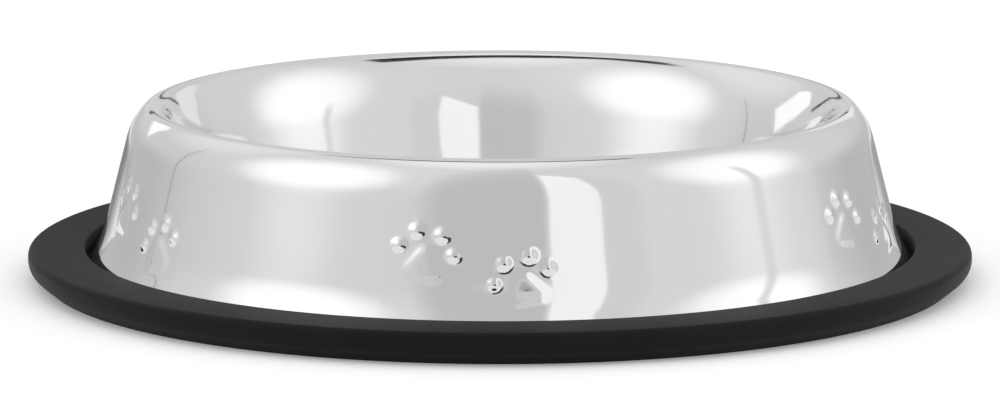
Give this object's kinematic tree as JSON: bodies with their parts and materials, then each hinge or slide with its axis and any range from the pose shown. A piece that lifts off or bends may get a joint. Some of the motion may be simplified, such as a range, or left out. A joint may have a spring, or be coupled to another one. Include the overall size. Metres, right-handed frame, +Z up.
{
  "type": "pet feeding bowl",
  "caption": "Low round steel feeding bowl with a flared skirt and raised paw prints, standing in a removable broad rubber ring that keeps it from sliding or tipping.",
  "frame": {"origin": "middle of the rubber ring's underside, on the ground", "axes": "+Z up along the bowl's axis, -Y towards the side that faces the camera in the picture"},
  "size_m": [0.26, 0.26, 0.0483],
  "materials": {
    "polished_steel": "polished stainless sheet",
    "black_rubber": "matt moulded"
  },
  "bodies": {
    "ring": {"rubber_ring": "black_rubber"},
    "bowl": {"steel_bowl": "polished_steel"}
  },
  "joints": [
    {"name": "bowl_lift", "type": "slide", "parent": "ring", "child": "bowl", "axis": [0, 0, 1], "range_m": [0, 0.06]}
  ]
}
